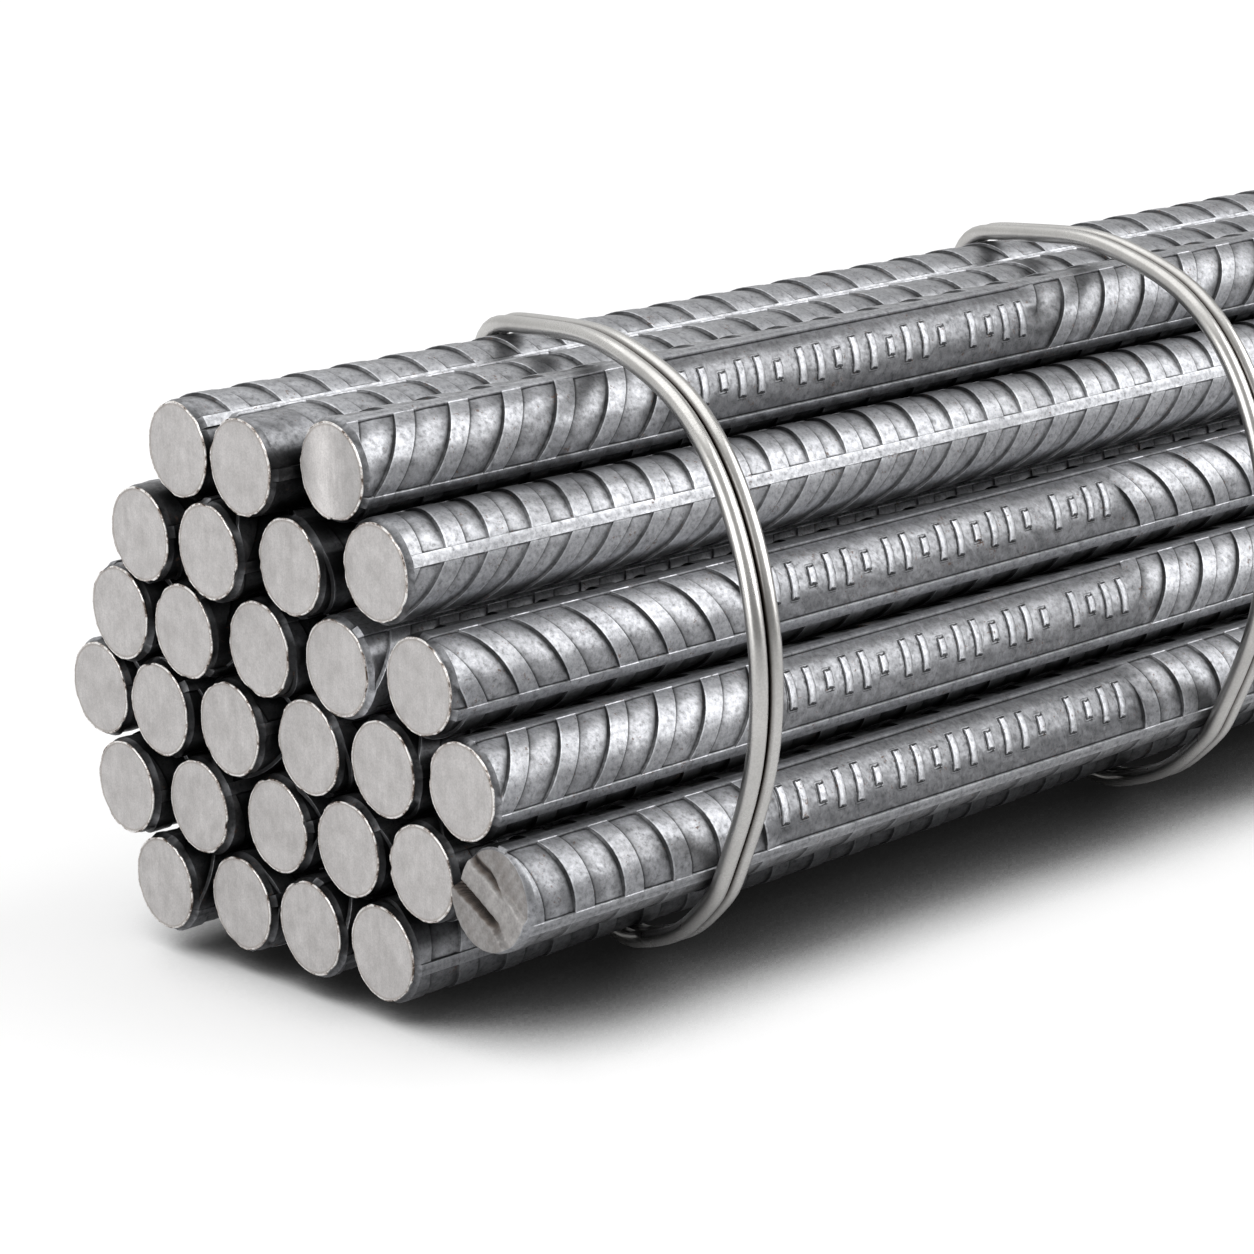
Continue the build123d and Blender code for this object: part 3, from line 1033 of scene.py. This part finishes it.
def tie_line(rounds):
    """Points of a tie's centre line, across and up."""
    count = len(rounds)
    leave = [run_angle(rounds[i], rounds[(i + 1) % count]) for i in range(count)]
    line = []
    for i, circle in enumerate(rounds):
        start = leave[i - 1]
        turn = (leave[i] - start) % math.tau
        pieces = max(2, math.ceil(turn * circle[2] / TIE_STEP))
        line.extend(on_round(circle, start + turn * k / pieces) for k in range(pieces + 1))
        here, there = line[-1], on_round(rounds[(i + 1) % count], leave[i])
        steps = max(1, round(math.dist(here, there) / TIE_STEP))
        line.extend(np.linspace(here, there, steps + 1)[1:-1])
    line = np.array(line)
    across = line[:, 0] / WIDENING + FIRST_ACROSS
    close = np.min([np.hypot(across - bar.y, line[:, 1] - bar.z) for bar in map(bar_centre, BARS)], 0)
    loose = np.clip((close - BAR_R - WIRE_R) / LOOSE_AT, 0.0, 1.0)[:, None]
    for _ in range(SMOOTHINGS):
        middle = (np.roll(line, 1, 0) + np.roll(line, -1, 0)) / 2
        line += SMOOTHING_SHARE * loose * (middle - line)
    return line


def add_tube(parts, line, radius, sides, closed, marks):
    """A round tube along a line of points, with a mark for each of its sides."""
    line = np.asarray(line, float)
    if closed:
        way = np.roll(line, -1, 0) - np.roll(line, 1, 0)
    else:
        way = np.gradient(line, axis=0)
    way /= np.linalg.norm(way, axis=1)[:, None]
    side = np.array([1.0, 0.0, 0.0]) - way * way[:, :1]
    flat = np.linalg.norm(side, axis=1) < NEARLY_ALONG_X
    side[flat] = np.array([0.0, 1.0, 0.0]) - way[flat] * way[flat][:, 1:2]
    side /= np.linalg.norm(side, axis=1)[:, None]
    if not closed:
        for i in range(1, len(side)):
            side[i] = side[i - 1] - way[i] * np.dot(side[i - 1], way[i])
            side[i] /= np.linalg.norm(side[i])
    up = np.cross(way, side)
    turn = np.arange(sides) * math.tau / sides
    points = (line[:, None, :] + radius * (np.cos(turn)[None, :, None] * side[:, None, :]
                                           + np.sin(turn)[None, :, None] * up[:, None, :]))
    first = parts.add_points(points.reshape(-1, 3), np.tile(marks, len(line)))
    number = first + np.arange(len(line) * sides).reshape(len(line), sides)
    rows = np.arange(len(line) if closed else len(line) - 1)
    after = (rows + 1) % len(line)
    quads = np.stack([number[rows], np.roll(number[rows], -1, 1),
                      np.roll(number[after], -1, 1), number[after]], -1)
    parts.add_quads(quads.reshape(-1, 4))
    if not closed:
        parts.add_poly(number[0][::-1])
        parts.add_poly(number[-1])


def make_tie(node, place, rounds, line):
    """Two turns side by side and their twisted tail. place is where the wire crosses bar 4f, along X."""

    def in_place(across, up, along):
        x = place + along + (across - TIE_CROSSING) * math.sin(TIE_SLANT)
        return np.stack(np.broadcast_arrays(x, FIRST_ACROSS + across * math.cos(TIE_SLANT), up), -1)

    parts = MeshParts()
    turn = np.arange(TIE_SIDES) * math.tau / TIE_SIDES
    for side in (-0.5, 0.5):
        # Painted shade on the side of each turn that faces the other
        facing = -2.0 * side * np.cos(turn)
        marks = WIRE_TONE * (1.0 - np.clip((facing - GAP_FACING) / (1.0 - GAP_FACING), 0.0, 1.0))
        path = in_place(line[:, 0], line[:, 1], side * STRAND_STEP * WIDENING)
        add_tube(parts, path, WIRE_R, TIE_SIDES, True, marks)
    angle = run_angle(rounds[2], rounds[3])
    start = np.array(on_round(rounds[2], angle))
    end = np.array(on_round(rounds[3], angle))
    outward = np.array([math.cos(angle), math.sin(angle)])
    axis = in_place(*((start + end) / 2 + outward * TAIL_OFF), -STRAND_STEP * WIDENING / 2)
    share = np.linspace(0.0, 1.0, TAIL_POINTS)
    for strand in (0.0, math.pi):
        turned = strand + share * TAIL_TURNS * math.tau
        helix = axis + np.stack([share * TAIL_LENGTH, WIRE_R * np.cos(turned), WIRE_R * np.sin(turned)], 1)
        add_tube(parts, helix, WIRE_R * TAIL_THINNING, TAIL_SIDES, False, np.full(TAIL_SIDES, WIRE_TONE))
    piece = parts.build("wire_" + node, WIRE_SMOOTH_ANGLE, [WIRE])
    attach(piece, "root")
    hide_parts(node)


ROUNDS = tie_rounds()
TIE_LINE = tie_line(ROUNDS)
TIE_REACH = (TIE_CROSSING - TIE_LINE[:, 0].min()) * math.sin(TIE_SLANT)
for tie in TIES:
    low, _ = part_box(tie)
    make_tie(tie, low[0] / MM + WIRE_R + STRAND_STEP * WIDENING / 2 + TIE_REACH, ROUNDS, TIE_LINE)


# Floor, light and camera

def seen_or_mirrored(tree, mirrored):
    """1 for what the camera sees straight, through glass, or mirrored in metal, times mirrored."""
    path = add_node(tree, "ShaderNodeLightPath")
    straight = maths(tree, "MAXIMUM", path.outputs["Is Camera Ray"], path.outputs["Is Transmission Ray"])
    glossy = maths(tree, "MULTIPLY", path.outputs["Is Glossy Ray"], mirrored)
    return maths(tree, "MAXIMUM", straight, glossy)


def make_floor():
    """A pale floor that is white to the camera, darkest close under the object."""
    mesh = bpy.data.meshes.new("floor")
    corners = [(x * FLOOR_REACH, y * FLOOR_REACH, 0.0) for x, y in ((-1, -1), (1, -1), (1, 1), (-1, 1))]
    mesh.from_pydata(corners, [], [(0, 1, 2, 3)])
    floor = bpy.data.objects.new("floor", mesh)
    bpy.context.scene.collection.objects.link(floor)
    material, tree = new_material("floor")
    plain = add_node(tree, "ShaderNodeBsdfDiffuse", {"Color": FLOOR_GREY})
    open_sky = add_node(tree, "ShaderNodeAmbientOcclusion", {"Distance": FLOOR_SHADE_REACH})
    shade = ramp(tree, open_sky.outputs["AO"], [(share, grey(tone)) for share, tone in FLOOR_SHADES])
    lit = add_node(tree, "ShaderNodeBsdfDiffuse", {"Color": shade})
    backdrop = add_node(tree, "ShaderNodeEmission", {"Color": shade, "Strength": 1.0})
    white = mix_shaders(tree, FLOOR_BACKDROP_SHARE, lit, backdrop)
    choose = mix_shaders(tree, seen_or_mirrored(tree, FLOOR_MIRRORED), plain, white)
    add_node(tree, "ShaderNodeOutputMaterial", {"Surface": choose.outputs[0]})
    mesh.materials.append(material)


def make_world():
    """A soft grey studio, with a white backdrop behind the object for the camera and for metal."""
    world = bpy.data.worlds.new("studio")
    bpy.context.scene.world = world
    world.use_nodes = True
    tree = world.node_tree
    tree.nodes.clear()
    way = add_node(tree, "ShaderNodeTexCoord").outputs["Generated"]
    split = add_node(tree, "ShaderNodeSeparateXYZ", {"Vector": way})
    height = maths(tree, "MULTIPLY_ADD", split.outputs["Z"], 0.5, 0.5)
    light = ramp(tree, height, [(share, grey(tone)) for share, tone in SKY_LIGHT])
    studio = add_node(tree, "ShaderNodeBackground", {"Color": light, "Strength": 1.0})
    white = add_node(tree, "ShaderNodeBackground", {"Color": grey(1.0), "Strength": 1.0})
    behind = ramp(tree, split.outputs["Y"], [(share, grey(tone)) for share, tone in BACKDROP_MIRRORED])
    choose = mix_shaders(tree, seen_or_mirrored(tree, behind), studio, white)
    add_node(tree, "ShaderNodeOutputWorld", {"Surface": choose.outputs[0]})


def add_sun(name, azimuth, elevation, strength, spread):
    light = bpy.data.lights.new(name, "SUN")
    light.energy = strength
    light.angle = math.radians(spread)
    lamp = bpy.data.objects.new(name, light)
    a, e = math.radians(azimuth), math.radians(elevation)
    back = Vector((math.sin(a) * math.cos(e), -math.cos(a) * math.cos(e), math.sin(e)))
    lamp.rotation_mode = "QUATERNION"
    lamp.rotation_quaternion = back.to_track_quat("Z", "Y")
    bpy.context.scene.collection.objects.link(lamp)


def make_camera():
    data = bpy.data.cameras.new("camera")
    data.lens = CAMERA_LENS
    data.sensor_width = CAMERA_SENSOR
    data.clip_start, data.clip_end = CAMERA_CLIP
    camera = bpy.data.objects.new("camera", data)
    even_end = Vector((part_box("bar_6b")[0][0], centre_of("bar_4a").y, centre_of("bar_6b").z))
    turn = (Matrix.Rotation(math.radians(CAMERA_AZIMUTH), 4, "Z")
            @ Matrix.Rotation(math.radians(90.0 - CAMERA_ELEVATION), 4, "X")
            @ Matrix.Rotation(math.radians(CAMERA_ROLL), 4, "Z"))
    camera.matrix_world = Matrix.Translation(even_end + Vector(CAMERA_PLACE) * MM) @ turn
    bpy.context.scene.collection.objects.link(camera)
    bpy.context.scene.camera = camera


make_floor()
make_world()
for lamp in LAMPS:
    add_sun(*lamp)
make_camera()
bpy.context.scene.view_settings.view_transform = "Standard"
